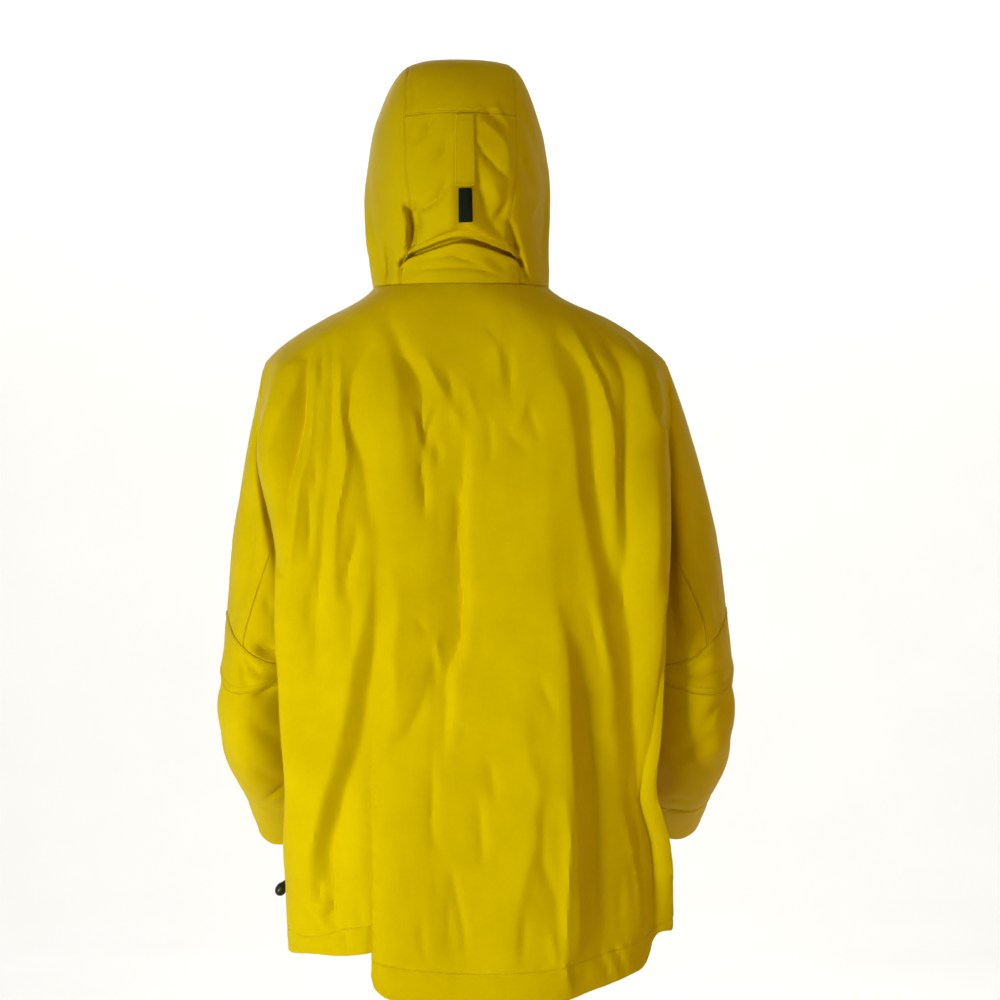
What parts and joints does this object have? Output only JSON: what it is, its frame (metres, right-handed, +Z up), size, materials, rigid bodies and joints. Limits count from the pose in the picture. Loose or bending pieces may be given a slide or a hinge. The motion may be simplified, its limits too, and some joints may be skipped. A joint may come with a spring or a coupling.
{
  "type": "waterproof winter jacket",
  "caption": "Hooded zip-front winter jacket in yellow coated cloth, hood up, hollow as worn, with a long drop tail and a hood adjuster.",
  "frame": {"origin": "middle of the neck opening, level with the seam between the hood and the body", "axes": "+Z up, the wearer faces -Y, the wearer's left is +X"},
  "size_m": [0.5814, 0.3229, 1.0373],
  "materials": {
    "coated_shell": "matte coated woven cloth with a soft sheen",
    "hook_and_loop": "matte black hook-and-loop tape",
    "zip_tape": "black woven zip tape",
    "zip_coil": "black nylon coil",
    "zinc_alloy": "dark lacquered zinc alloy",
    "moulded_plastic": "black moulded plastic, satin"
  },
  "bodies": {
    "jacket": {"back": "coated_shell", "front_left": "coated_shell", "front_right": "coated_shell", "hem_tail": "coated_shell", "hem_side_left": "coated_shell", "hem_front_left": "coated_shell", "hem_front_right": "coated_shell", "hood_back": "coated_shell", "hood_crown": "coated_shell", "hood_side_left": "coated_shell", "hood_side_right": "coated_shell", "hood_tab": "coated_shell", "sleeve_upper_left": "coated_shell", "sleeve_under_left": "coated_shell", "sleeve_elbow_left": "coated_shell", "sleeve_forearm_left": "coated_shell", "sleeve_cuff_left": "coated_shell", "sleeve_upper_right": "coated_shell", "sleeve_under_right": "coated_shell", "sleeve_elbow_right": "coated_shell", "sleeve_forearm_right": "coated_shell", "sleeve_cuff_right": "coated_shell", "hood_hook_strip": "hook_and_loop", "zip_tape_left": "zip_tape", "zip_tape_right": "zip_tape", "zip_coil": "zip_coil", "zip_slider": "zinc_alloy", "hem_toggle": "moulded_plastic"},
    "zip_pull": {"zip_pull": "zinc_alloy"}
  },
  "joints": [
    {"name": "zip_pull_swing", "type": "hinge", "parent": "jacket", "child": "zip_pull", "pos_m": [0.00765, -0.10078, -0.07609], "axis": [-0.9995, 0.0189, 0.0266], "range_deg": [0, 150]}
  ]
}
